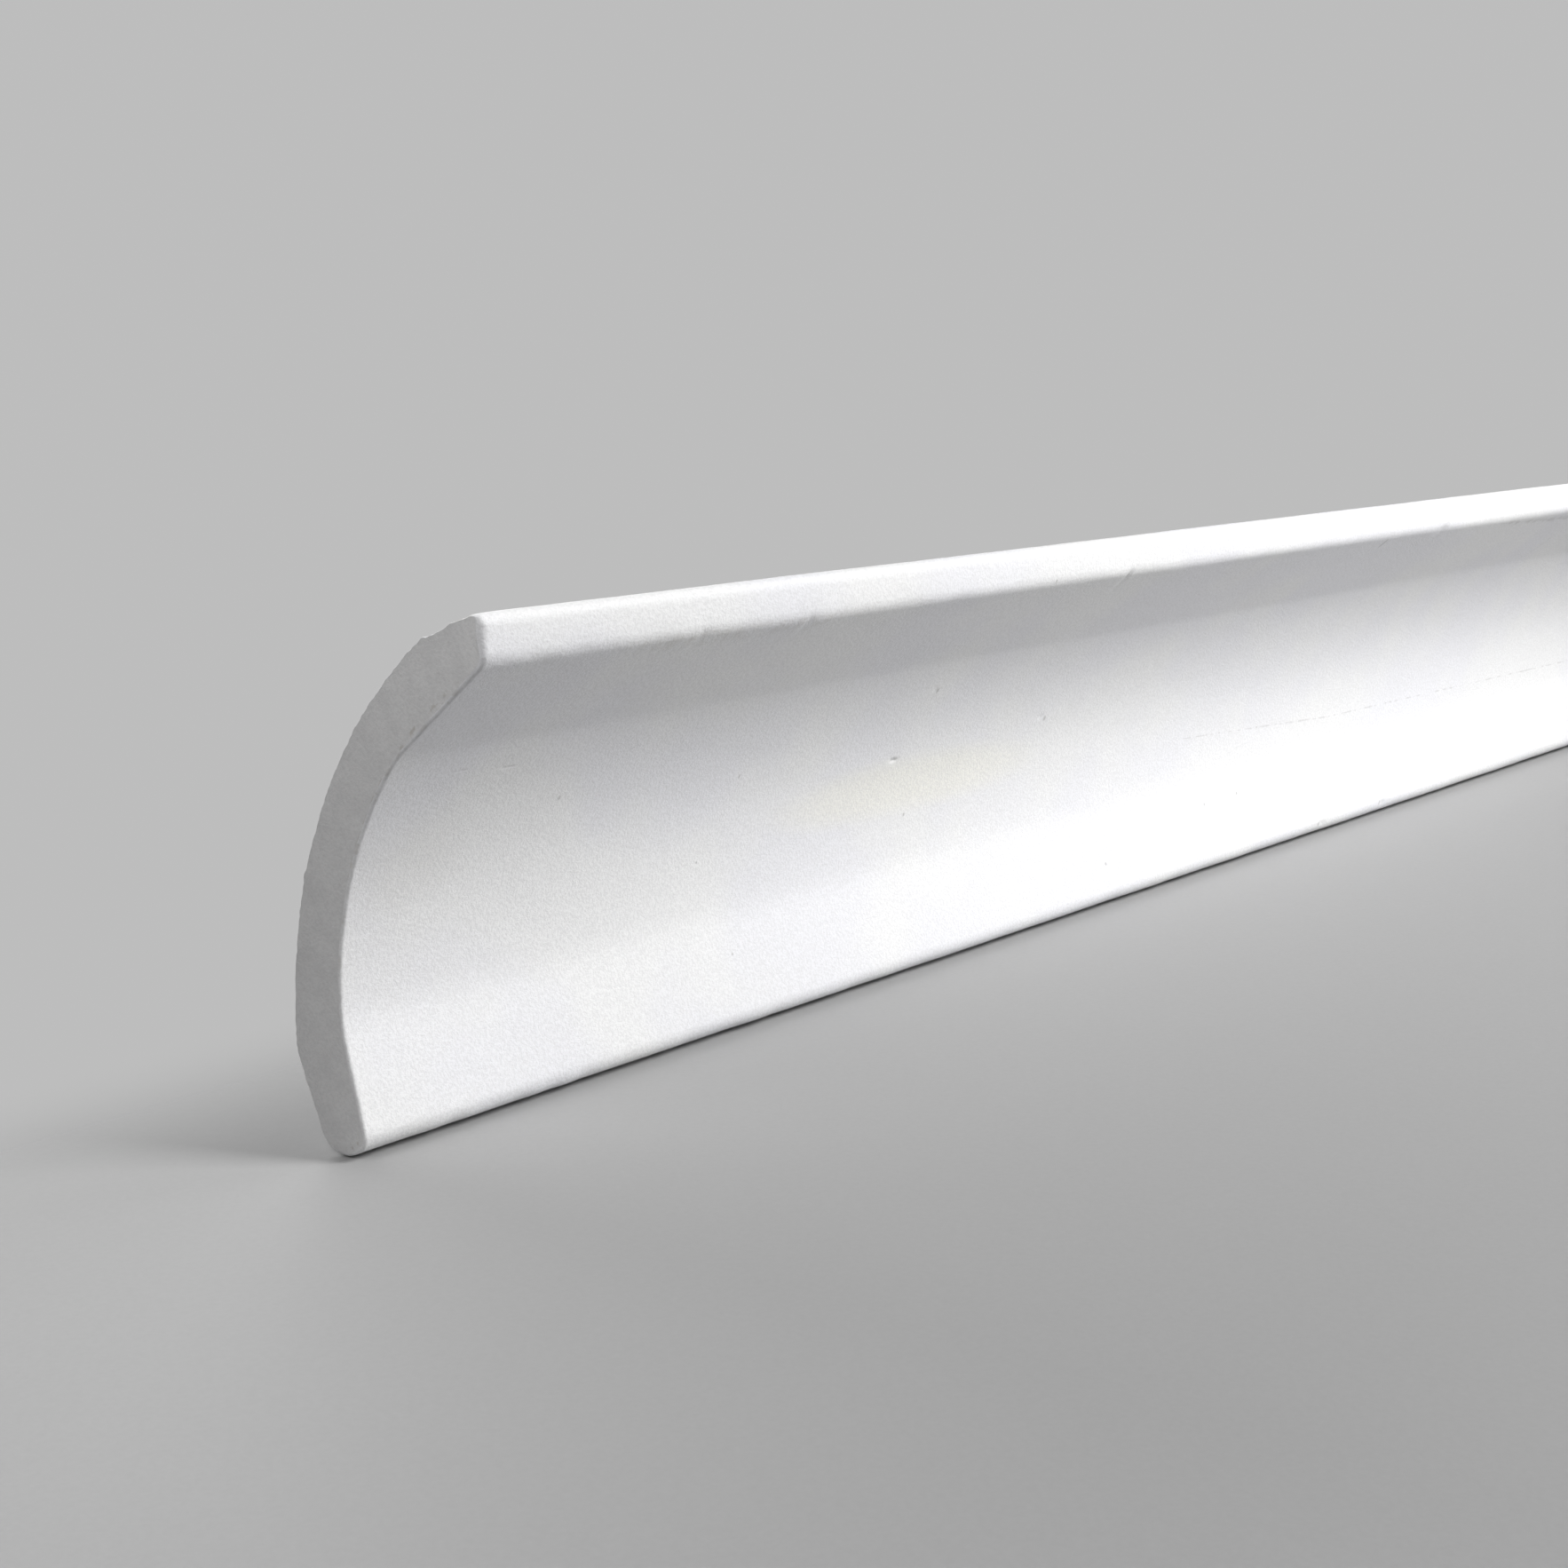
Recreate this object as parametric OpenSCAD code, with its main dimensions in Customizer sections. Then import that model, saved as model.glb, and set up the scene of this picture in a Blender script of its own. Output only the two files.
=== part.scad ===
/* [Length] */
// Length of the moulding between its two square-cut ends
length = 1000; // [300:10:2000]

/* [Overall section] */
// How far the moulding reaches out from the wall, along the ceiling
projection = 80; // [66:1:100]
// How far the moulding comes down the wall from the ceiling
drop = 80; // [66:1:100]

/* [Back] */
// Height of the wall strip's top edge above the moulding's lowest edge
wall_strip_top = 21.5; // [16:0.5:28]
// Width of the ceiling strip, from the front of the lip to the curved back
ceiling_strip_w = 16.8; // [12:0.2:22]
// Least angle at which the curved back meets the wall strip or the ceiling strip
back_meet = 14.8; // [8:0.2:30]

/* [Front] */
// Thickness of the lower edge, where the lower band meets the bottom face
lower_edge_t = 11; // [9:0.2:14]
// Height of the flat lower band
lower_band_h = 23.5; // [14:0.5:28]
// Lean of the lower band out from the vertical, in degrees
lower_band_lean = 8.9; // [6:0.1:11]
// Height of the lip at the ceiling
lip_h = 8.9; // [7:0.1:11]
// Undercut of the lip's front face, from its top edge to its lower edge
lip_undercut = 3; // [0:0.1:4]
// Width of the flat upper band, measured along the ceiling
upper_band_w = 27.8; // [18:0.2:32]
// Slope of the upper band down from the ceiling, in degrees
upper_band_slope = 16.1; // [12:0.1:19]
// Least angle at which the cove meets the lower band or the upper band
cove_meet = 10.6; // [6:0.2:20]

/* [Edges] */
// Rounding of the lower back edge, below the wall strip
back_edge_r = 6.5; // [2:0.1:7]
// Rounding of the lower front edge
lower_edge_r = 2; // [0.5:0.1:3]
// Rounding of the lip's top edge
lip_top_r = 2.2; // [0.5:0.1:3]
// Rounding of the lip's lower edge
lip_lower_r = 0.8; // [0.3:0.1:1.5]

/* [Hidden] */
$fn = 180;

// How far a cutting shape runs past what it cuts
past = 10;

// Angle between the ceiling and the lip's front face
lip_angle = 90 - atan(lip_undercut / lip_h);
// How far the lip's sharp corner stands out beyond its rounded one
lip_point = lip_top_r * (1 / tan(lip_angle / 2) - 1);

// The section is drawn with x out from the wall and y up from the lowest edge
bottom_back = [0, 0];
bottom_front = [lower_edge_t, 0];
lower_band_top = bottom_front + lower_band_h * [tan(lower_band_lean), 1];
lip_top = [projection + lip_point, drop];
lip_lower = lip_top - [lip_undercut, lip_h];
upper_band_end = lip_lower - upper_band_w * [1, tan(upper_band_slope)];
back_start = [0, wall_strip_top];
back_end = [projection - ceiling_strip_w, drop];

// The row's origin is at the middle of the flat part of the wall strip
origin_h = (back_edge_r + wall_strip_top) / 2;

// Direction from a to b, one unit long
function towards(a, b) = (b - a) / norm(b - a);

// Half the turn of an arc from a up to b, whose ends meet a line that leans out by lean at a
// and a line that slopes by slope at b, both at the angle meet or more
function half_turn(a, b, lean, slope, meet) =
    let (rise = atan((b[1] - a[1]) / (b[0] - a[0])))
    min(90 - lean - rise, rise - slope) - meet;

// Radius and centre of the arc from a up to b that bulges towards the wall and the ceiling
function arc_radius(a, b, half) = norm(b - a) / 2 / sin(half);
function arc_centre(a, b, half) =
    (a + b) / 2 + [b[1] - a[1], a[0] - b[0]] / 2 / tan(half);

back_half = half_turn(back_start, back_end, 0, 0, back_meet);
cove_half = half_turn(
    lower_band_top, upper_band_end, lower_band_lean, upper_band_slope, cove_meet
);

// The point where the lines of the two flat bands would cross, behind the cove
function bands_crossing() =
    let (
        across = upper_band_end[0] - lower_band_top[0],
        up = upper_band_end[1] - lower_band_top[1],
        back = (up - across * tan(upper_band_slope))
            / (1 - tan(lower_band_lean) * tan(upper_band_slope))
    )
    lower_band_top + back * [tan(lower_band_lean), 1];

// The waste outside a round of radius r at the corner p, whose neighbours are a and b
module corner_waste(a, p, b, r) {
    to_a = towards(p, a);
    to_b = towards(p, b);
    half_angle = acos(to_a * to_b) / 2;
    tangent = r / tan(half_angle);
    inwards = towards([0, 0], to_a + to_b);
    centre = p + inwards * r / sin(half_angle);
    difference() {
        polygon([p - inwards * r, p + to_a * tangent, centre, p + to_b * tangent]);
        translate(centre) circle(r);
    }
}

// The full width and height, rounded off behind by the curved back
module back_blank() {
    intersection() {
        square([projection + past, drop]);
        translate(arc_centre(back_start, back_end, back_half))
            circle(arc_radius(back_start, back_end, back_half));
    }
}

// All that lies in front of the lines of the two bands and of the lip's face
module band_waste() {
    polygon([
        bands_crossing(),
        lip_lower,
        lip_top + past * towards(lip_lower, lip_top),
        lip_top + past * [2, 1],
        [lip_top[0] + 2 * past, -past],
        bottom_front - past * [tan(lower_band_lean), 1]
    ]);
}

// The cove's own circle, with the room below it and in front of it, which each start
// a quarter of the way along a band, well inside the circle
module cove_waste() {
    room_below = lower_band_h * 3 / 4;
    room_in_front = upper_band_end[0] + upper_band_w / 4;
    translate(arc_centre(lower_band_top, upper_band_end, cove_half))
        circle(arc_radius(lower_band_top, upper_band_end, cove_half));
    translate([0, -past]) square([projection + 3 * past, past + room_below]);
    translate([room_in_front, -past]) square([projection, drop + 3 * past]);
}

module section() {
    difference() {
        back_blank();
        intersection() {
            band_waste();
            cove_waste();
        }
        corner_waste(back_start, bottom_back, bottom_front, back_edge_r);
        corner_waste(bottom_back, bottom_front, lower_band_top, lower_edge_r);
        corner_waste(lip_lower, lip_top, back_end, lip_top_r);
        corner_waste(upper_band_end, lip_lower, lip_top, lip_lower_r);
    }
}

module moulding() {
    color("white")
        translate([length / 2, 0, -origin_h])
            rotate([90, 0, -90])
                linear_extrude(length)
                    section();
}

moulding();
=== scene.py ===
# One metre of foam ceiling cove, leaning on its lower back edge on a pale table.
# Sizes are in metres. X runs along the length, Y goes into the wall and Z up to the ceiling.
import math
from itertools import product

import bpy
import numpy as np
from mathutils import Matrix, Vector


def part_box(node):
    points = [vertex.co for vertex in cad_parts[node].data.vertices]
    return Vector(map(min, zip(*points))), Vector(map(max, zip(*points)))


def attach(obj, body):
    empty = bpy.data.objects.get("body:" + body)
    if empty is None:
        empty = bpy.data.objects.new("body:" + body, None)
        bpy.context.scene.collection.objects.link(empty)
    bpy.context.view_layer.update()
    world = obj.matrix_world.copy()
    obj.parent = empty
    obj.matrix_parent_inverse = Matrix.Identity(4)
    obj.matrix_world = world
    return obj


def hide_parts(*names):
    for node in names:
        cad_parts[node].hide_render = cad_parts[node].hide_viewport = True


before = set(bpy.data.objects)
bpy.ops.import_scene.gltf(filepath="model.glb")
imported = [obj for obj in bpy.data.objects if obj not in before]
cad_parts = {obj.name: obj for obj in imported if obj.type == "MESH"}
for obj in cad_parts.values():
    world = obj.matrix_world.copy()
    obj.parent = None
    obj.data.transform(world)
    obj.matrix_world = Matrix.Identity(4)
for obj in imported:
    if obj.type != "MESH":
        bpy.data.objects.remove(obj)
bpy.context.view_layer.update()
mm = 0.001
boxLow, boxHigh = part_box("moulding")
nearEnd, lipFront, lowestEdge = boxLow
farEnd, wallPlane, ceilingPlane = boxHigh

# The section. "out" is away from the wall and "up" is from the lowest edge; angles are in degrees.
section = dict(
    out=wallPlane - lipFront,
    up=ceilingPlane - lowestEdge,
    wallStripTop=21.5 * mm,
    ceilingStrip=16.8 * mm,
    backMeet=14.8,
    lowerEdge=11 * mm,
    lowerBand=23.5 * mm,
    lowerBandLean=8.9,
    lipHeight=8.9 * mm,
    lipUndercut=3 * mm,
    upperBand=27.8 * mm,
    upperBandSlope=16.1,
    coveMeet=10.6,
    backEdgeRound=6.5 * mm,
    lowerEdgeRound=3.4 * mm,
    lipTopRound=2.2 * mm,
    lipLowerRound=3.6 * mm,
    softening=0.35 * mm,
    lowCoveSoftening=2.4 * mm,
    highCoveSoftening=1 * mm,
    softeningSpread=3.5,  # how far the two last reach, as a multiple of themselves
)


def unit(v):
    # The vector over its own length
    return v / np.linalg.norm(v, axis=-1, keepdims=True)


def arcPoints(centre, radius, start, turn, count):
    # centre plus radius times (cos, sin) of an angle that grows from start by turn
    angle = start + turn * np.linspace(0, 1, count)
    return centre + radius * np.stack([np.cos(angle), np.sin(angle)], 1)


def roundedCorner(before, corner, after, radius, count=24):
    # The arc that touches both lines into the corner: its centre lies radius / sin(half angle) inwards
    toBefore, toAfter = unit(before - corner), unit(after - corner)
    half = math.acos(toBefore @ toAfter) / 2
    centre = corner + unit(toBefore + toAfter) * radius / math.sin(half)
    first = corner + toBefore * radius / math.tan(half) - centre
    last = corner + toAfter * radius / math.tan(half) - centre
    start, end = math.atan2(first[1], first[0]), math.atan2(last[1], last[0])
    turn = (end - start + math.pi) % (2 * math.pi) - math.pi
    return arcPoints(centre, radius, start, turn, count)


def bulgingArc(low, high, lean, slope, meet, count=200):
    # The arc from low up to high that bulges towards wall and ceiling, and meets a line that leans out
    # by lean at low and a line that slopes by slope at high, both at the angle meet or more
    rise = math.degrees(math.atan2(high[1] - low[1], high[0] - low[0]))
    half = math.radians(min(90 - lean - rise, rise - slope) - meet)
    centre = (low + high) / 2 + np.array([high[1] - low[1], low[0] - high[0]]) / 2 / math.tan(half)
    radius = np.linalg.norm(high - low) / 2 / math.sin(half)
    start = math.atan2(low[1] - centre[1], low[0] - centre[0])
    return arcPoints(centre, radius, start, -2 * half, count), centre, radius


def tanOf(degrees):
    # The tangent of an angle in degrees
    return math.tan(math.radians(degrees))


def sectionCorners(s):
    # The sharp corners and the ends of the arcs, as points (out, up), worked out along the straight runs
    lipAngle = math.atan2(s["lipHeight"], s["lipUndercut"])
    c = {"bottomBack": np.array([0.0, 0.0]), "bottomFront": np.array([s["lowerEdge"], 0.0])}
    c["bandTop"] = c["bottomFront"] + s["lowerBand"] * np.array([tanOf(s["lowerBandLean"]), 1])
    c["lipTop"] = np.array([s["out"] + s["lipTopRound"] * (1 / math.tan(lipAngle / 2) - 1), s["up"]])
    c["lipLower"] = c["lipTop"] - np.array([s["lipUndercut"], s["lipHeight"]])
    c["bandEnd"] = c["lipLower"] - s["upperBand"] * np.array([1, tanOf(s["upperBandSlope"])])
    c["backLow"] = np.array([0.0, s["wallStripTop"]])
    c["backHigh"] = np.array([s["out"] - s["ceilingStrip"], s["up"]])
    return c


corner = sectionCorners(section)
covePoints, coveCentre, coveRadius = bulgingArc(
    corner["bandTop"], corner["bandEnd"],
    section["lowerBandLean"], section["upperBandSlope"], section["coveMeet"])
backPoints = bulgingArc(corner["backLow"], corner["backHigh"], 0, 0, section["backMeet"])[0]


def softened(path, step, reach):
    # A Gaussian of the given reach along the closed path, applied to its waves
    waves = np.fft.fftfreq(len(path), step) * 2 * math.pi
    return np.fft.ifft(np.fft.fft(path) * np.exp(-0.5 * (waves * reach) ** 2))


def sectionOutline(s, count=4096):
    # The closed outline as complex numbers out + up i, evenly spaced. It is softened a little all round, and
    # more where the cove runs into its two flat bands. Also its outward normal and how much it turns at each
    # point, and the step between points
    c = corner
    path = np.vstack([
        roundedCorner(c["backLow"], c["bottomBack"], c["bottomFront"], s["backEdgeRound"]),
        roundedCorner(c["bottomBack"], c["bottomFront"], c["bandTop"], s["lowerEdgeRound"]),
        covePoints,
        roundedCorner(c["bandEnd"], c["lipLower"], c["lipTop"], s["lipLowerRound"]),
        roundedCorner(c["lipLower"], c["lipTop"], c["backHigh"], s["lipTopRound"]),
        backPoints[::-1],
    ])
    path = np.vstack([path, path[:1]])
    run = np.append(0, np.cumsum(np.linalg.norm(np.diff(path, axis=0), axis=1)))
    place = np.linspace(0, run[-1], count, endpoint=False)
    even = np.interp(place, run, path[:, 0]) + 1j * np.interp(place, run, path[:, 1])
    step = run[-1] / count
    soft = softened(even, step, s["softening"])
    for name, reach in (("bandTop", s["lowCoveSoftening"]), ("bandEnd", s["highCoveSoftening"])):
        share = np.exp(-(abs(even - complex(*c[name])) / (s["softeningSpread"] * reach)) ** 4)
        soft = soft + share * (softened(even, step, reach) - soft)
    tangent = np.roll(soft, -1) - np.roll(soft, 1)
    tangent /= abs(tangent)
    turning = np.angle(np.roll(tangent, -1) / np.roll(tangent, 1)) / 2
    return soft, tangent * -1j, abs(turning), step


# How closely the surface is divided. Along the front and the back a segment is no longer than reach and
# turns by no more than turn. Rows as far as fineReach from the near end have twice the others' points
grid = dict(
    across=12,
    reach=1.2 * mm,
    turn=0.17,
    nearStep=0.6 * mm,
    farStep=1.5 * mm,
    growth=0.034,
    longStep=4.8 * mm,
    fineReach=5.5 * mm,
    pastLip=10,  # points of the fine ring
    dentReach=1.5,  # how far from a dent's middle its own step holds, in its lengths
    dentStep=0.45,  # that step, in its lengths
    dentGrowth=0.5,  # how fast the step grows beyond
    clearOfRim=1.3,  # where the other rows begin, as a multiple of the last rim row
    rimRows=(0.0, 0.05 * mm, 0.14 * mm, 0.28 * mm, 0.48 * mm, 0.75 * mm, 1.08 * mm, 1.5 * mm),
)


def ringPlaces():
    # The outline as one fine ring: bottom, front, lip face and back, each from corner to corner.
    # Points are placed at even shares of length and turning, and closer towards the rims of the narrow sides
    soft, normal, turning, step = sectionOutline(section)
    sharp = [corner[k] for k in ("bottomBack", "bottomFront", "lipLower", "lipTop")]
    cuts = [int(np.argmin(abs(soft - complex(*p)))) for p in sharp]
    cuts = [cuts[0]] + [c if c > cuts[0] else c + len(soft) for c in cuts[1:]] + [cuts[0] + len(soft)]
    weight = step / grid["reach"] + turning / grid["turn"]
    total = np.append(0, np.cumsum(np.append(weight, weight)))
    longSide = int(math.ceil(max(total[cuts[2]] - total[cuts[1]], total[cuts[4]] - total[cuts[3]])))
    even = np.arange(2 * longSide) / (2 * longSide)
    graded = (1 - np.cos(math.pi * np.arange(2 * grid["across"]) / (2 * grid["across"]))) / 2
    wanted = np.concatenate([
        total[start] + share * (total[end] - total[start])
        for start, end, share in zip(cuts[:-1], cuts[1:], (graded, even, graded, even))])
    places = np.interp(wanted, total, np.arange(len(total)))
    index = np.arange(2 * len(soft))
    point = np.interp(places, index, np.append(soft, soft))
    outward = np.interp(places, index, np.append(normal, normal))
    return point, outward / abs(outward), places * step, longSide


# Marks shaped in the surface: how far along from the near end and how far up the section each one is,
# how long and how high it is, and how deep it goes in (a negative depth stands out)
dents = [
    dict(name="topNick", along=160 * mm, up=79.6 * mm, long=1.4 * mm, high=1.6 * mm, deep=0.34 * mm),
    dict(name="lipChip", along=57.4 * mm, up=70.9 * mm, long=1.6 * mm, high=1.2 * mm, deep=0.25 * mm),
    dict(name="lipChip", along=89.6 * mm, up=70.7 * mm, long=1.3 * mm, high=1.2 * mm, deep=0.2 * mm),
    dict(name="lipChip", along=211 * mm, up=70.6 * mm, long=1.3 * mm, high=1.3 * mm, deep=0.3 * mm),
    dict(name="lipChip", along=387.5 * mm, up=71 * mm, long=2.6 * mm, high=1.2 * mm, deep=0.35 * mm),
    dict(name="lowerChip", along=384 * mm, up=1.5 * mm, long=2.6 * mm, high=1 * mm, deep=0.35 * mm),
    dict(name="lowerChip", along=426 * mm, up=1.7 * mm, long=2.6 * mm, high=1 * mm, deep=0.35 * mm),
]

# Crumbs on the torn rim of the near end: where in the section, how wide and how far out they stand
crumbs = [
    dict(out=65.2 * mm, up=79.9 * mm, wide=1.3 * mm, proud=0.42 * mm),
    dict(out=72.8 * mm, up=79.8 * mm, wide=1.1 * mm, proud=0.22 * mm),
    dict(out=41.4 * mm, up=71.7 * mm, wide=1 * mm, proud=0.34 * mm),
    dict(out=17 * mm, up=51.3 * mm, wide=1.2 * mm, proud=0.3 * mm),
    dict(out=3.2 * mm, up=26.7 * mm, wide=1.1 * mm, proud=0.3 * mm),
    dict(out=50 * mm, up=76.4 * mm, wide=1.6 * mm, proud=-0.3 * mm),
    dict(out=27.5 * mm, up=62 * mm, wide=1.2 * mm, proud=-0.26 * mm),
    dict(out=8.5 * mm, up=39 * mm, wide=1.4 * mm, proud=-0.26 * mm),
]


def lengthRows(samples=40001):
    # Places along the length. The step grows with the distance from each end, four times as fast from the
    # far one, and is about half a dent's length at each dent
    x = np.linspace(0, farEnd - nearEnd, samples)
    step = np.minimum(grid["longStep"], grid["nearStep"] + grid["growth"] * x)
    step = np.minimum(step, grid["farStep"] + 4 * grid["growth"] * (x[-1] - x))
    for dent in dents:
        away = np.maximum(abs(x - dent["along"]) - grid["dentReach"] * dent["long"], 0)
        step = np.minimum(step, grid["dentStep"] * dent["long"] + grid["dentGrowth"] * away)
    share = np.append(0, np.cumsum(np.diff(x) / step[1:]))
    rows = np.interp(np.linspace(0, share[-1], int(share[-1]) + 1), share, x)
    rim = np.array(grid["rimRows"])
    clear = rim[-1] * grid["clearOfRim"]
    inside = rows[(rows > clear) & (rows < x[-1] - clear)]
    return np.concatenate([rim, inside, x[-1] - rim[::-1]])


def softNoise(points, cell, seed):
    # Value noise: random numbers from -1 to 1 at the corners of cubes of one cell, blended smoothly between
    p = points / cell
    base = np.floor(p).astype(np.int64)
    t = p - base
    t = t * t * (3 - 2 * t)
    total = np.zeros(p.shape[:-1])
    for side in product((0, 1), repeat=3):
        keys = (base + side) * (73856093, 19349663, 83492791)
        h = keys[..., 0] ^ keys[..., 1] ^ keys[..., 2]
        h = (h ^ seed * 2654435761) & 0xFFFFFFFF
        h = ((h ^ h >> 15) * 2246822519) & 0xFFFFFFFF
        h = ((h ^ h >> 13) * 3266489917) & 0xFFFFFFFF
        value = (h ^ h >> 16) / 2147483648.0 - 1
        share = np.where(side, t, 1 - t)
        total += value * (share[..., 0] * share[..., 1]) * share[..., 2]
    return total


# How uneven the foam is: heights, and the size of their cells or how far they reach. Waves and ripples are
# in the moulded skin, the wander is along the lip and the lower front edge, the cut is across a sawn end,
# and the tear is the broken rim of the back at an end
unevenness = dict(
    wave=0.07 * mm,
    waveCell=24 * mm,
    ripple=0.03 * mm,
    rippleCell=5 * mm,
    edgeWander=0.17 * mm,
    edgeCell=4.5 * mm,
    lipReach=2.5 * mm,
    footReach=3 * mm,
    cut=0.08 * mm,
    cutCell=4 * mm,
    cutReach=1.5 * mm,
    foamCells=0.025 * mm,
    foamCell=1.3 * mm,
    rimRound=0.62 * mm,
    rimRoundAtLip=1.3,  # this much more rounding near the lip
    lipMiddle=76 * mm,
    lipHalf=5 * mm,
    backRimShare=0.2,
    tear=0.24 * mm,
    tearReach=2.2 * mm,
    tearMiddle=0.35,  # shares of the tear: how far in it lies, how it wanders, its crumbs and its steps
    tearWander=0.45,
    tearCrumbs=0.7,
    tearSteps=1.6,
    tearStepsFrom=0.35,  # the noise level at which a step begins
    wanderCell=4.5 * mm,
    crumbCell=0.95 * mm,
    stepCell=6 * mm,
    backSharpness=6,
    dentSteepness=1.4,
    crumbSteepness=2,
    fluff=0.8 * mm,
    fluffWide=0.45 * mm,
    fluffLong=0.1 * mm,
    fluffAt=(3.4 * mm, 0.5 * mm),
)


def tornRim(place, seed):
    # How far the back's rim is broken: a slow wander, finer crumbs and a few sharp steps inwards
    u = unevenness
    around = np.stack([place, place * 0 + seed * mm, place * 0], -1)
    wander = softNoise(around, u["wanderCell"], seed)
    fine = softNoise(around, u["crumbCell"], seed + 1)
    steps = np.maximum(softNoise(around, u["stepCell"], seed + 2) - u["tearStepsFrom"], 0)
    share = u["tearMiddle"] + u["tearWander"] * wander + u["tearCrumbs"] * fine + steps * u["tearSteps"]
    return -u["tear"] * share


def bell(distance, reach):
    # 1 in the middle, falling as e to the minus square of the distance over the reach
    return np.exp(-(distance / reach) ** 2)


def skinRelief(x, out, up):
    # Waves and ripples everywhere, and a wander that is strongest along the lip and the lower front edge
    u = unevenness
    here = np.stack([x, out, up], -1)
    relief = u["wave"] * softNoise(here, u["waveCell"], 1)
    relief += u["ripple"] * softNoise(here, u["rippleCell"], 2)
    lip, foot = corner["lipLower"], corner["bottomFront"]
    edges = bell(np.hypot(up - lip[1], out - lip[0]), u["lipReach"])
    edges += bell(np.hypot(up - foot[1], out - foot[0]), u["footReach"])
    return relief + u["edgeWander"] * edges * softNoise(here, u["edgeCell"], 3)


def shapedRows(rows, length, point, outward, place):
    # The ring of the section carried along the rows, with the relief added along each point's normal
    u = unevenness
    away, far = rows[:, None], (length - rows)[:, None]
    x = nearEnd + away + 0 * place[None, :]
    out, up = point.real[None, :] + 0 * x, point.imag[None, :] + 0 * x
    outN, upN = outward.real[None, :], outward.imag[None, :]
    relief = skinRelief(x, out, up)
    isBack = 1 / (1 + np.exp(-(upN - outN) * u["backSharpness"]))
    for dent in dents:
        gap = ((away - dent["along"]) / dent["long"]) ** 2 + ((up - dent["up"]) / dent["high"]) ** 2
        relief -= dent["deep"] * np.exp(-gap * u["dentSteepness"]) * (1 - isBack)
    torn = tornRim(place, 11)
    for crumb in crumbs:
        gap = (point.real - crumb["out"]) ** 2 + (point.imag - crumb["up"]) ** 2
        torn = torn + crumb["proud"] * np.exp(-gap / crumb["wide"] ** 2 * u["crumbSteepness"])
    relief += torn * isBack * np.exp(-away / u["tearReach"])
    relief += tornRim(place, 31) * isBack * np.exp(-far / u["tearReach"])
    # The rim's rounding is a quarter circle of radius r, and shallow on the back
    r = u["rimRound"] * (1 + u["rimRoundAtLip"] * bell(up - u["lipMiddle"], u["lipHalf"]))
    fromEnd = np.minimum(away, far)
    rim = r - np.sqrt(np.maximum(r * r - np.maximum(r - fromEnd, 0) ** 2, 0))
    relief -= rim * (1 - (1 - u["backRimShare"]) * isBack)
    out, up = out + relief * outN, up + relief * upN
    # The saw's unevenness moves the rim along the length, and so does the bit of fluff at the bottom
    cut = u["cut"] * softNoise(np.stack([out, up, 0 * up + np.sign(x)], -1), u["cutCell"], 5)
    gap = (out - u["fluffAt"][0]) ** 2 + (up - u["fluffAt"][1]) ** 2
    cut -= u["fluff"] * np.exp(-gap / u["fluffWide"] ** 2) * np.exp(-away / u["fluffLong"])
    x = x + cut * np.exp(-fromEnd / u["cutReach"])
    return np.stack([x, wallPlane - out, lowestEdge + up], -1)


def capGrid(ring, longSide, across, ringStart, gridStart):
    # A square-cut end as a grid blended between its four sides: the blend from bottom to lip, plus the
    # blend from back to front, less the blend of the four corners
    k, m = across, longSide
    u = (1 - np.cos(math.pi * np.linspace(0, 1, k + 1)))[None, :, None] / 2
    v = np.linspace(0, 1, m + 1)[:, None, None]
    bottom = ring[:k + 1][None, :]
    front = ring[k:k + m + 1][:, None]
    top = ring[k + m:2 * k + m + 1][::-1][None, :]
    back = np.append(ring[2 * k + m:], ring[:1], 0)[::-1][:, None]
    ends = (1 - v) * ((1 - u) * bottom[:, :1] + u * bottom[:, -1:])
    ends = ends + v * ((1 - u) * top[:, :1] + u * top[:, -1:])
    points = (1 - v) * bottom + v * top + (1 - u) * back + u * front - ends
    ringIndex = np.arange(len(ring)) + ringStart
    index = np.zeros((m + 1, k + 1), int)
    index[0, :] = ringIndex[:k + 1]
    index[:, k] = ringIndex[k:k + m + 1]
    index[m, ::-1] = ringIndex[k + m:2 * k + m + 1]
    index[::-1, 0] = np.append(ringIndex[2 * k + m:], ringIndex[:1])
    index[1:m, 1:k] = gridStart + np.arange((m - 1) * (k - 1)).reshape(m - 1, k - 1)
    return points[1:m, 1:k].reshape(-1, 3), index


def quads(index):
    # Four-sided faces between the neighbouring rows and columns of a grid
    return np.stack([index[:-1, :-1], index[:-1, 1:], index[1:, 1:], index[1:, :-1]], -1).reshape(-1, 4)


def sideQuads(index):
    # Faces between rows of rings, each ring closed, turned to face outwards
    return quads(np.append(index, index[:, :1], 1))[:, [0, 3, 2, 1]]


def stitch(fine, coarse):
    # Three triangles for each segment of the coarse ring and the two segments of the fine ring beside it
    f0, f1, c0 = fine[0::2], fine[1::2], coarse
    f2, c1 = np.roll(f0, -1), np.roll(c0, -1)
    threes = ((f0, c0, f1), (f1, c0, c1), (f1, c1, f2))
    return np.stack([np.stack(three, -1) for three in threes], 1).reshape(-1, 3)


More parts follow.
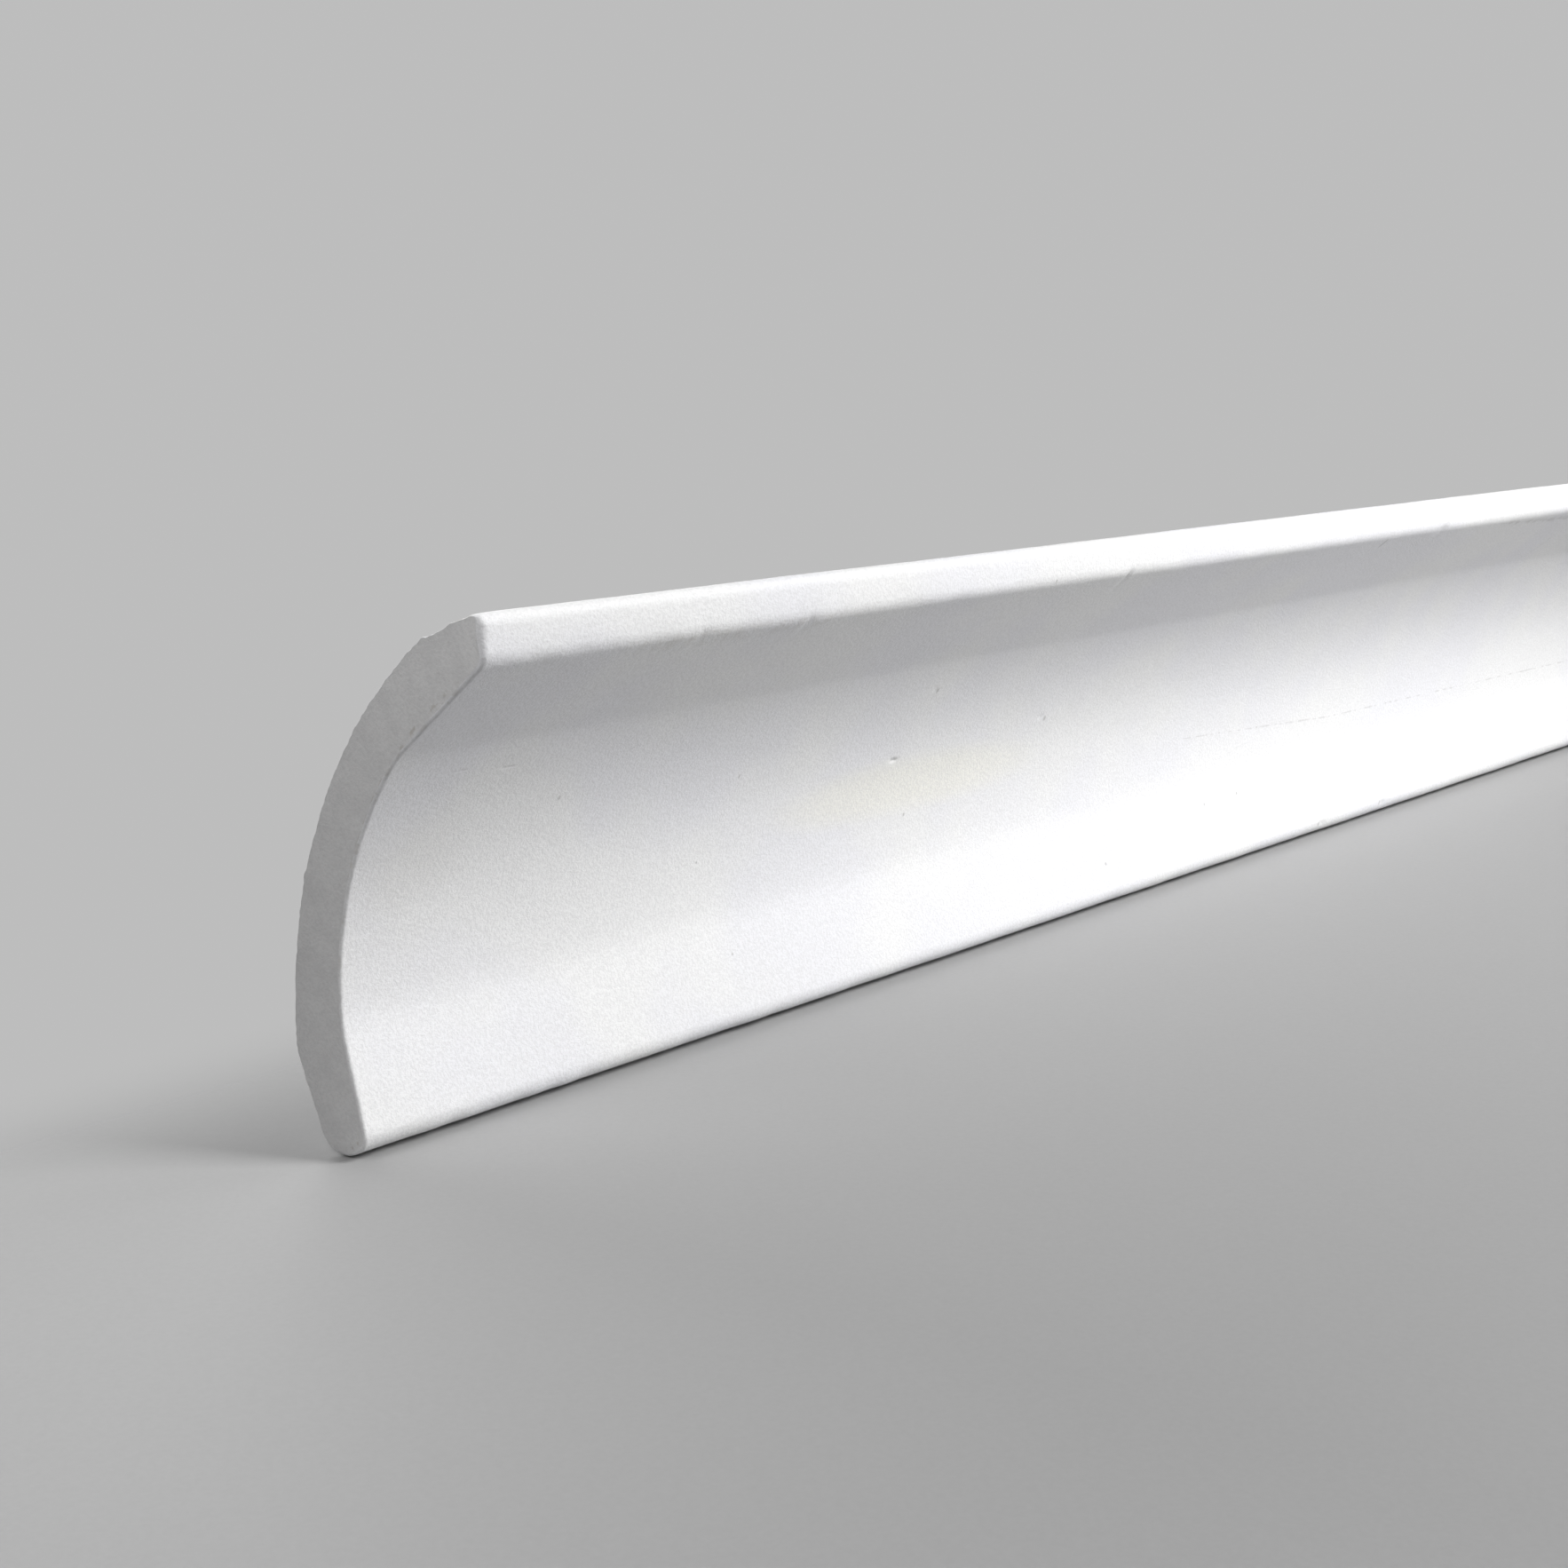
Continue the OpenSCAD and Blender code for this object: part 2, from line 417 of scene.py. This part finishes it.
def meshFrom(name, points, faceGroups):
    # faceGroups is a list of (faces, material slots); all faces in a group have the same number of corners
    corners = np.concatenate([faces.ravel() for faces, slots in faceGroups])
    sides = np.concatenate([np.full(len(faces), faces.shape[1]) for faces, slots in faceGroups])
    slots = np.concatenate([slots for faces, slots in faceGroups])
    mesh = bpy.data.meshes.new(name)
    mesh.vertices.add(len(points))
    mesh.vertices.foreach_set("co", points.astype(np.float32).ravel())
    mesh.loops.add(len(corners))
    mesh.loops.foreach_set("vertex_index", corners.astype(np.int32))
    mesh.polygons.add(len(sides))
    mesh.polygons.foreach_set("loop_start", (np.cumsum(sides) - sides).astype(np.int32))
    mesh.polygons.foreach_set("material_index", slots.astype(np.int32))
    mesh.update(calc_edges=True)
    mesh.validate()
    mesh.shade_smooth()
    piece = bpy.data.objects.new(name, mesh)
    bpy.context.scene.collection.objects.link(piece)
    return piece, int((sides - 2).sum())


def makeMoulding():
    # The skin's rows of rings, fine near the near end and coarse beyond, and a grid over each cut end
    point, outward, place, longSide = ringPlaces()
    rows = lengthRows()
    isFine = rows < grid["fineReach"]
    fine = shapedRows(rows[isFine], rows[-1], point, outward, place)
    coarse = shapedRows(rows[~isFine], rows[-1], point[::2], outward[::2], place[::2])
    fineIndex = np.arange(fine.size // 3).reshape(fine.shape[:2])
    coarseIndex = fineIndex.size + np.arange(coarse.size // 3).reshape(coarse.shape[:2])
    # Slot 1 is the back, from a little past the lip's top corner to the bottom corner
    k, m = grid["across"], longSide
    isBack = (np.arange(len(place)) > 4 * k + 2 * m + grid["pastLip"]).astype(int)
    count = fineIndex.size + coarseIndex.size
    nearPoints, nearIndex = capGrid(fine[0], 2 * m, 2 * k, 0, count)
    farPoints, farIndex = capGrid(coarse[-1], m, k, coarseIndex[-1, 0], count + len(nearPoints))
    for points, seed in ((nearPoints, 21), (farPoints, 22)):
        points[:, 0] += unevenness["foamCells"] * softNoise(points, unevenness["foamCell"], seed)
    points = np.vstack([fine.reshape(-1, 3), coarse.reshape(-1, 3), nearPoints, farPoints])
    nearFaces, farFaces = quads(nearIndex), quads(farIndex)[:, ::-1]
    seam = stitch(fineIndex[-1], coarseIndex[0])
    faceGroups = [
        (sideQuads(fineIndex), np.tile(isBack, len(fineIndex) - 1)),
        (sideQuads(coarseIndex), np.tile(isBack[::2], len(coarseIndex) - 1)),
        (seam, np.repeat(isBack[::2], 3)),
        (nearFaces, np.full(len(nearFaces), 2)),
        (farFaces, np.full(len(farFaces), 2)),
    ]
    piece, triangles = meshFrom("mouldingLength", points, faceGroups)
    print("moulding:", len(rows), "rows of", len(place) // 2, "points,", triangles, "triangles")
    return piece


class Flow:
    # A value on its way through a material. On numbers + - * / and ** add Math nodes
    def __init__(self, bench, socket):
        self.bench, self.socket = bench, socket

    def maths(self, operation, first, second):
        return self.bench.add("ShaderNodeMath", {"operation": operation}, {0: first, 1: second})

    def __add__(self, other):
        return self.maths("ADD", self, other)

    def __radd__(self, other):
        return self.maths("ADD", other, self)

    def __sub__(self, other):
        return self.maths("SUBTRACT", self, other)

    def __rsub__(self, other):
        return self.maths("SUBTRACT", other, self)

    def __mul__(self, other):
        return self.maths("MULTIPLY", self, other)

    def __rmul__(self, other):
        return self.maths("MULTIPLY", other, self)

    def __truediv__(self, other):
        return self.maths("DIVIDE", self, other)

    def __rtruediv__(self, other):
        return self.maths("DIVIDE", other, self)

    def __pow__(self, other):
        return self.maths("POWER", self, other)

    def __rpow__(self, other):
        return self.maths("POWER", other, self)


class Bench:
    # Adds nodes to one material
    def __init__(self, tree):
        self.tree = tree
        tree.nodes.clear()

    def add(self, kind, settings=None, inputs=None, output=0):
        # A node with its settings, then a value or a link for each socket, by name or number
        node = self.tree.nodes.new(kind)
        for name, value in (settings or {}).items():
            setattr(node, name, value)
        for name, value in (inputs or {}).items():
            if isinstance(value, Flow):
                self.tree.links.new(value.socket, node.inputs[name])
            else:
                node.inputs[name].default_value = value
        return Flow(self, node.outputs[output]) if node.outputs else None

    def place(self):
        return self.add("ShaderNodeTexCoord", output="Object")

    def axes(self, place):
        split = self.add("ShaderNodeSeparateXYZ", None, {0: place}).socket.node
        return [Flow(self, output) for output in split.outputs]

    def noise(self, place, scale, detail=2.0, roughness=0.5):
        return self.add("ShaderNodeTexNoise", {"noise_dimensions": "3D"},
                        {"Vector": place, "Scale": scale, "Detail": detail, "Roughness": roughness})

    def between(self, value, low, high):
        # 0 at low, 1 at high, smooth between
        return self.add("ShaderNodeMapRange", {"interpolation_type": "SMOOTHSTEP", "clamp": True},
                        {"Value": value, "From Min": low, "From Max": high})

    def close(self, value, middle, far, near):
        # 1 nearer than near to the middle, 0 farther than far, smooth between
        return self.between(self.function("ABSOLUTE", value - middle), far, near)

    def function(self, operation, value):
        return self.add("ShaderNodeMath", {"operation": operation}, {0: value})

    def clamped(self, value):
        return self.add("ShaderNodeClamp", None, {"Value": value})

    def tint(self, amount, first, second):
        # The first colour at 0 and the second at 1
        return self.add("ShaderNodeMix", {"data_type": "RGBA"}, {0: amount, 6: first, 7: second}, 2)

    def stretched(self, place, scale):
        return self.add("ShaderNodeMapping", None, {"Vector": place, "Scale": scale})

    def bump(self, height, distance, normal=None):
        inputs = {"Height": height, "Strength": 1.0, "Distance": distance}
        if normal is not None:
            inputs["Normal"] = normal
        return self.add("ShaderNodeBump", None, inputs)

    def finish(self, colour, roughness, normal):
        inputs = {"Base Color": colour, "Roughness": roughness, "Normal": normal,
                  "Specular IOR Level": foam["specular"]}
        shader = self.add("ShaderNodeBsdfPrincipled", None, inputs)
        self.add("ShaderNodeOutputMaterial", None, {"Surface": shader})


def newMaterial(name):
    # An empty material and the bench that adds nodes to it
    material = bpy.data.materials.new(name)
    material.use_nodes = True
    return material, Bench(material.node_tree)


# Colours and marks of the foam, by distance along from the near end and up from the lowest edge. A patch has
# a middle and half sizes. All other pairs are where a colour is still absent and where it is full: a noise
# level, a distance or, for a patch, a squared distance in half sizes. "strong" is how much of it shows
foam = dict(
    skinColour=(0.83, 0.83, 0.83, 1),
    skinCool=(0.80, 0.80, 0.825, 1),
    skinWarm=(0.85, 0.84, 0.775, 1),
    cutColour=(0.735, 0.73, 0.73, 1),
    cutDark=(0.60, 0.595, 0.60, 1),
    brown=(0.36, 0.32, 0.25, 1),
    speckColour=(0.30, 0.29, 0.28, 1),
    specular=0.4,
    roughness=0.5,
    grainRoughness=0.2,  # added to the roughness on the grains' tops
    grain=0.66 * mm,
    grainHeight=0.11 * mm,
    grainFineness=0.62,
    # The two hollow entries are painted shade: the colour darkens towards cutDark where the grains and the
    # pores are low
    grainHollowShade=dict(edge=(0.64, 0.36), strong=0.3),
    poresPerGrain=2.6,
    poreHeight=0.3,  # as a share of the grain's
    poreHollowShade=dict(edge=(0.42, 0.25), strong=0.12),
    cloudScale=22,
    cloudEdge=(0.40, 0.62),
    breakScale=350,
    warmPatch=dict(at=(177 * mm, 41 * mm), half=(60 * mm, 7 * mm), edge=(1.1, 0.1), strong=0.75),
    brownSmudge=dict(at=(15 * mm, 47 * mm), half=(16 * mm, 8 * mm), edge=(1.3, 0.0), strong=0.07),
    rimLine=dict(wide=(0.55 * mm, 0.1 * mm), starts=(20 * mm, 40 * mm), ends=(72 * mm, 69 * mm),
                 breaks=(0.52, 0.62), faint=0.02, strong=0.2),
    lipDust=dict(up=70.7 * mm, wide=(1.1 * mm, 0.3 * mm), starts=(30 * mm, 50 * mm),
                 ends=(115 * mm, 95 * mm), breaks=(0.42, 0.58), strong=0.12),
)

# In mm: specks as (along, up, size), scratches as (start, end, width)
specks = [(50.6, 52.8, 0.5), (107.3, 50, 0.45), (98.6, 35.5, 0.35), (108.5, 15, 0.4), (173.7, 34.6, 0.4),
          (171.8, 58.4, 0.55), (228.3, 48.5, 0.7), (178.5, 71.6, 0.5), (261, 9.4, 0.6), (336, 17.4, 0.7),
          (317, 17, 0.6), (382, 1.6, 0.8), (424, 1.9, 0.8), (211, 71, 0.5), (352, 70, 0.7)]
scratches = [((65, 57.9), (68.5, 59), 0.2), ((306, 35.8), (350, 33.9), 0.22),
             ((348, 34), (396, 31.8), 0.4), ((396, 31.8), (592, 29.5), 0.35),
             ((431, 70.5), (490, 69.9), 0.5), ((499, 64.5), (500, 66.4), 0.6)]

# How strongly the marks show, how ragged their edges are in mm, and the share of their size that is full
marks = dict(
    speckStrong=0.45,
    speckRagged=0.8,
    speckFull=0.3,
    scratchStrong=0.25,
    scratchRagged=0.3,
    scratchFull=0.2,
)

# Pits too small for the mesh, in mm: (along, up, half length, half height, depth)
pits = [(165, 46.6, 1.5, 0.45, 0.4), (32, 59.2, 1.8, 0.2, 0.12), (19, 59.9, 2, 0.18, 0.1),
        (170.5, 58.6, 0.8, 0.4, 0.14), (226, 49, 1.2, 0.5, 0.14)]


def skinPlace(b, place):
    # Metres along from the near end, out from the wall plane and up from the lowest edge
    x, y, z = b.axes(place)
    return x - nearEnd, wallPlane - y, z - lowestEdge


def spread(first, second, at, half):
    # The squared distance from a mark's middle, in its own half sizes
    return ((first - at[0]) / half[0]) ** 2 + ((second - at[1]) / half[1]) ** 2


def patchMask(b, along, up, clouds, patch):
    # A soft oval with a cloudy border, at its own strength
    away = spread(along, up, patch["at"], patch["half"]) + clouds - 0.5
    return b.between(away, *patch["edge"]) * patch["strong"]


def speckMasks(b, along, up, jitter):
    # Specks are full inside a small circle, and scratches close to a line from one point to another
    masks = 0
    for place, height, size in specks:
        gap = ((along - place * mm) ** 2 + (up - height * mm) ** 2) ** 0.5
        gap = gap + jitter * marks["speckRagged"] * mm
        speck = b.between(gap, size * mm, marks["speckFull"] * size * mm)
        masks = speck * marks["speckStrong"] + masks
    for first, last, width in scratches:
        dx, dy = (last[0] - first[0]) * mm, (last[1] - first[1]) * mm
        share = b.clamped(((along - first[0] * mm) * dx + (up - first[1] * mm) * dy) / (dx * dx + dy * dy))
        gap = ((along - first[0] * mm - share * dx) ** 2 + (up - first[1] * mm - share * dy) ** 2) ** 0.5
        gap = gap + b.between(jitter, -0.1, 0.1) * marks["scratchRagged"] * mm
        scratch = b.between(gap, width * mm, marks["scratchFull"] * width * mm)
        masks = scratch * marks["scratchStrong"] + masks
    return masks


def pitDepth(b, along, up):
    # Small dents as bell shapes: e to the minus squared distance, each with its own length and height
    depth = 0
    for place, height, long, high, deep in pits:
        away = spread(along, up, (place * mm, height * mm), (long * mm, high * mm))
        depth = b.function("EXPONENT", away * -1.0) * deep + depth
    return depth


def skinMaterial():
    # Moulded skin: pressed grains with painted shade in their hollows, cool and warm clouds, a yellowish
    # patch, grey specks and fine scratches, and a broken brown line along the rim of the near end
    material, b = newMaterial("foamSkin")
    place = b.place()
    along, _, up = skinPlace(b, place)
    grain = b.noise(place, 1 / foam["grain"], 2, foam["grainFineness"])
    pores = b.noise(place, foam["poresPerGrain"] / foam["grain"], 0.0)
    clouds = b.noise(place, foam["cloudScale"], 2)
    broken = b.noise(place, foam["breakScale"], 2)
    colour = b.tint(b.between(clouds, *foam["cloudEdge"]), foam["skinCool"], foam["skinColour"])
    colour = b.tint(patchMask(b, along, up, clouds, foam["warmPatch"]), colour, foam["skinWarm"])
    colour = b.tint(patchMask(b, along, up, clouds, foam["brownSmudge"]), colour, foam["brown"])
    between, within = foam["grainHollowShade"], foam["poreHollowShade"]
    # Painted shade: the colour darkens in the hollows of the grain and the pores, where their bump is low
    paintedHollowShade = b.between(grain, *between["edge"]) * between["strong"]
    paintedHollowShade = paintedHollowShade + b.between(pores, *within["edge"]) * within["strong"]
    colour = b.tint(paintedHollowShade, colour, foam["cutDark"])
    line = foam["rimLine"]
    rim = b.between(along, *line["wide"]) * b.between(up, *line["starts"]) * b.between(up, *line["ends"])
    amount = line["faint"] + b.between(broken, *line["breaks"]) * line["strong"]
    colour = b.tint(rim * amount, colour, foam["brown"])
    line = foam["lipDust"]
    dusty = b.close(up, line["up"], *line["wide"]) * b.between(along, *line["ends"])
    dusty = dusty * b.between(along, *line["starts"]) * b.between(broken, *line["breaks"])
    colour = b.tint(dusty * line["strong"], colour, foam["brown"])
    colour = b.tint(speckMasks(b, along, up, broken - 0.5), colour, foam["speckColour"])
    pitted = b.bump(pitDepth(b, along, up) * -1.0, 1 * mm)
    normal = b.bump(grain + pores * foam["poreHeight"], foam["grainHeight"], pitted)
    b.finish(colour, foam["roughness"] + foam["grainRoughness"] * grain, normal)
    return material


# The back: noise scales along x, y and z for its lines, how much each colour shows, and how high lines and
# grain stand. Pairs are where a colour is absent and where it is full
backSide = dict(
    lines=(12, 420, 420),
    lineEdge=(0.5, 0.75),
    lineStrong=0.14,
    lineShare=0.8,
    grainPerSkin=0.9,
    grainFineness=0.6,
    cloudScale=40,
    cloudEdge=(0.4, 0.7),
    cloudStrong=0.6,
    height=0.14 * mm,
    roughness=0.6,
    lineRoughness=0.1,
)


def backMaterial():
    # Back: the same foam, a little coarser, with faint lines along the length
    material, b = newMaterial("foamBack")
    place = b.place()
    lines = b.noise(b.stretched(place, backSide["lines"]), 1, 3)
    grain = b.noise(place, backSide["grainPerSkin"] / foam["grain"], 2, backSide["grainFineness"])
    clouds = b.noise(place, backSide["cloudScale"], 3)
    warm = b.between(clouds, *backSide["cloudEdge"]) * backSide["cloudStrong"]
    colour = b.tint(warm, foam["skinCool"], foam["skinWarm"])
    dark = b.between(lines, *backSide["lineEdge"]) * backSide["lineStrong"]
    colour = b.tint(dark, colour, foam["cutDark"])
    normal = b.bump(lines * backSide["lineShare"] + grain, backSide["height"])
    b.finish(colour, backSide["roughness"] + backSide["lineRoughness"] * lines, normal)
    return material


# The cut ends: the open cells, painted darker in their hollows as painted shade, the brown line just inside
# the edge of the cove, and brown specks. Pairs are where a colour is still absent and where it is full. The
# specks, as (out, up), and speckRagged are in mm
cutEnd = dict(
    roughness=0.75,
    cellRoughness=0.1,
    cell=0.7 * mm,
    cellHeight=0.11 * mm,
    cellFineness=0.65,
    # The two cell entries below paint shade into the open cells: darker where the cells' bump is low
    cellShadeEdge=(0.4, 0.7),
    cellShadeStrong=0.4,
    cloudScale=190,
    cloudFineness=0.6,
    cloudEdge=(0.38, 0.66),
    cloudStrong=0.35,
    cloudHeight=0.6,  # as a share of the cells'
    breakScale=420,
    inside=0.5 * mm,
    wide=(0.5 * mm, 0.1 * mm),
    starts=(40 * mm, 52 * mm),
    ends=(72 * mm, 68 * mm),
    outEnds=(74 * mm, 71 * mm),
    breaks=(0.5, 0.6),
    strong=0.36,
    specks=((7.1, 1.4), (8.9, 1.8)),
    speckEdge=(0.55 * mm, 0.15 * mm),
    speckRagged=1.2,
    speckStrong=0.35,
)


def cutMaterial():
    # Cut end: fine open cells with painted shade in their hollows, a broken brown line just inside the
    # front's edge and a few brown specks
    material, b = newMaterial("foamCut")
    place = b.place()
    _, out, up = skinPlace(b, place)
    cells = b.noise(place, 1 / cutEnd["cell"], 2, cutEnd["cellFineness"])
    clouds = b.noise(place, cutEnd["cloudScale"], 3, cutEnd["cloudFineness"])
    broken = b.noise(place, cutEnd["breakScale"], 2)
    dark = b.between(clouds, *cutEnd["cloudEdge"]) * cutEnd["cloudStrong"]
    colour = b.tint(dark, foam["cutColour"], foam["cutDark"])
    # Painted shade: darker in the open cells' hollows, where the bump is low
    dark = b.between(cells, *cutEnd["cellShadeEdge"]) * cutEnd["cellShadeStrong"]
    colour = b.tint(dark, colour, foam["cutDark"])
    toCove = ((out - coveCentre[0]) ** 2 + (up - coveCentre[1]) ** 2) ** 0.5 - coveRadius
    edge = b.close(toCove, cutEnd["inside"], *cutEnd["wide"])
    edge = edge * b.between(up, *cutEnd["starts"]) * b.between(up, *cutEnd["ends"])
    edge = edge * b.between(out, *cutEnd["outEnds"]) * b.between(broken, *cutEnd["breaks"])
    colour = b.tint(edge * cutEnd["strong"], colour, foam["brown"])
    for atOut, atUp in cutEnd["specks"]:
        gap = ((out - atOut * mm) ** 2 + (up - atUp * mm) ** 2) ** 0.5
        gap = gap + (broken - 0.5) * cutEnd["speckRagged"] * mm
        colour = b.tint(b.between(gap, *cutEnd["speckEdge"]) * cutEnd["speckStrong"], colour, foam["brown"])
    normal = b.bump(cells * -1.0 + clouds * cutEnd["cloudHeight"], cutEnd["cellHeight"])
    b.finish(colour, cutEnd["roughness"] + cutEnd["cellRoughness"] * cells, normal)
    return material


# The table, the view and the light are all placed from where the near end touches the table. The table leans
# by this angle in the frame of the fixed moulding. Angles are in degrees, the lens and its sensor in mm
tableView = dict(
    lean=23.56,
    contactOut=3.87 * mm,
    contactUp=0.38 * mm,
    lens=56.06,
    sensor=36,
    yaw=38.55,
    pitch=10.265,
    cameraAt=(-0.2855, -0.331, 0.1474),
)
leaning = Matrix.Rotation(math.radians(tableView["lean"]), 3, "X")
contact = Vector((nearEnd, wallPlane - tableView["contactOut"], lowestEdge + tableView["contactUp"]))


def onTable(along, back, height):
    # From table axes (along the moulding, towards the wall side, up) at the contact point to the moulding's
    return contact + leaning @ Vector((along, back, height))


def makeCamera():
    # Pitched down from level, then turned away from the moulding's direction, then leant with the table
    yaw = Matrix.Rotation(math.radians(tableView["yaw"] - 90), 3, "Z")
    turn = leaning @ yaw @ Matrix.Rotation(math.radians(90 - tableView["pitch"]), 3, "X")
    lens = bpy.data.cameras.new("camera")
    lens.lens = tableView["lens"]
    lens.sensor_width = tableView["sensor"]
    lens.clip_start = 0.02
    lens.clip_end = 50
    camera = bpy.data.objects.new("camera", lens)
    camera.matrix_world = Matrix.Translation(onTable(*tableView["cameraAt"])) @ turn.to_4x4()
    bpy.context.scene.collection.objects.link(camera)
    bpy.context.scene.camera = camera


# The table is solid as far as the first distance from the near end's contact point, and has faded out at
# the second, on each of its sides. A share of the light goes through it
table = dict(
    front=(0.32, 0.8),
    behind=(0.0, 0.085),
    before=(0.24, 0.55),
    past=(1.03, 1.35),
    colour=(0.64, 0.64, 0.64, 1),
    speckled=(0.57, 0.57, 0.57, 1),
    speckleScale=900,
    roughness=0.6,
    translucent=0.38,
    clearance=0.12 * mm,
)


def makeTable():
    # A flat sheet that turns clear towards its edges, so that no edge shows. It lets a little light through
    left, right = -table["before"][1], table["past"][1]
    front, behind = -table["front"][1], table["behind"][1]
    flat = [onTable(along, back, -table["clearance"]) for along, back in
            ((left, front), (right, front), (right, behind), (left, behind))]
    piece = meshFrom("table", np.array(flat), [(np.array([[0, 1, 2, 3]]), np.zeros(1))])[0]
    material, b = newMaterial("paleTable")
    place = b.place()
    x, y, z = b.axes(place)
    along = x - contact.x
    back = (y - contact.y) * leaning[1][1] + (z - contact.z) * leaning[2][1]
    seen = 1
    sides = ((back, "behind"), (along, "past"), (back * -1.0, "front"), (along * -1.0, "before"))
    for distance, side in sides:
        solid, gone = table[side]
        seen = b.between(distance, gone, solid) * seen
    colour = b.tint(b.noise(place, table["speckleScale"], 2), table["colour"], table["speckled"])
    pale = b.add("ShaderNodeBsdfPrincipled", None, {"Base Color": colour, "Roughness": table["roughness"]})
    through = b.add("ShaderNodeBsdfTranslucent", None, {"Color": table["colour"]})
    sheet = b.add("ShaderNodeMixShader", None, {0: table["translucent"], 1: pale, 2: through})
    clear = b.add("ShaderNodeBsdfTransparent")
    shown = b.add("ShaderNodeMixShader", None, {0: seen, 1: clear, 2: sheet})
    b.add("ShaderNodeOutputMaterial", None, {"Surface": shown})
    piece.data.materials.append(material)


# Soft boxes: where each stands and what it is aimed at, from the near end's contact point
softBoxes = [
    dict(name="key", at=(0.55, -0.70, 0.64), aim=(0.27, 0, 0.04), size=(0.42, 0.42), power=4.95, spread=115),
    dict(name="nearEnd", at=(-0.21, -0.05, 0.31), aim=(0, 0, 0.06), size=(0.16, 0.16), power=0.5, spread=180),
    dict(name="farEnd", at=(1.45, -0.45, 0.5), aim=(0.95, -0.1, 0), size=(0.5, 0.5), power=2.1, spread=150),
    dict(name="behind", at=(0.6, 0.95, 0.5), aim=(0.5, 0, 0.05), size=(1.2, 0.5), power=4.5, spread=120),
]


def makeSoftBox(box):
    # A rectangle of light that faces its aim
    data = bpy.data.lights.new(box["name"], "AREA")
    data.shape = "RECTANGLE"
    data.size, data.size_y = box["size"]
    data.energy = box["power"]
    data.spread = math.radians(box["spread"])
    light = bpy.data.objects.new(box["name"], data)
    place, aim = onTable(*box["at"]), onTable(*box["aim"])
    facing = (aim - place).to_track_quat("-Z", "Y").to_matrix().to_4x4()
    light.matrix_world = Matrix.Translation(place) @ facing
    bpy.context.scene.collection.objects.link(light)


# A pale backdrop to look at, and a dimmer one to be lit by
backdrop = dict(seen=0.51, lit=0.05)


def makeWorld():
    # The lit strength, plus the difference where the backdrop is looked at directly
    world = bpy.data.worlds.new("studio")
    world.use_nodes = True
    bpy.context.scene.world = world
    b = Bench(world.node_tree)
    looked = b.add("ShaderNodeLightPath", output="Is Camera Ray")
    strength = backdrop["lit"] + (backdrop["seen"] - backdrop["lit"]) * looked
    pale = b.add("ShaderNodeBackground", None, {"Color": (1, 1, 1, 1), "Strength": strength})
    b.add("ShaderNodeOutputWorld", None, {"Surface": pale})


makeCamera()
piece = makeMoulding()
for material in (skinMaterial(), backMaterial(), cutMaterial()):
    piece.data.materials.append(material)
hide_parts("moulding")
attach(piece, "root")
print("moulding placed")

makeTable()
makeWorld()
for box in softBoxes:
    makeSoftBox(box)
bpy.context.scene.view_settings.view_transform = "Standard"
print("stage lit")
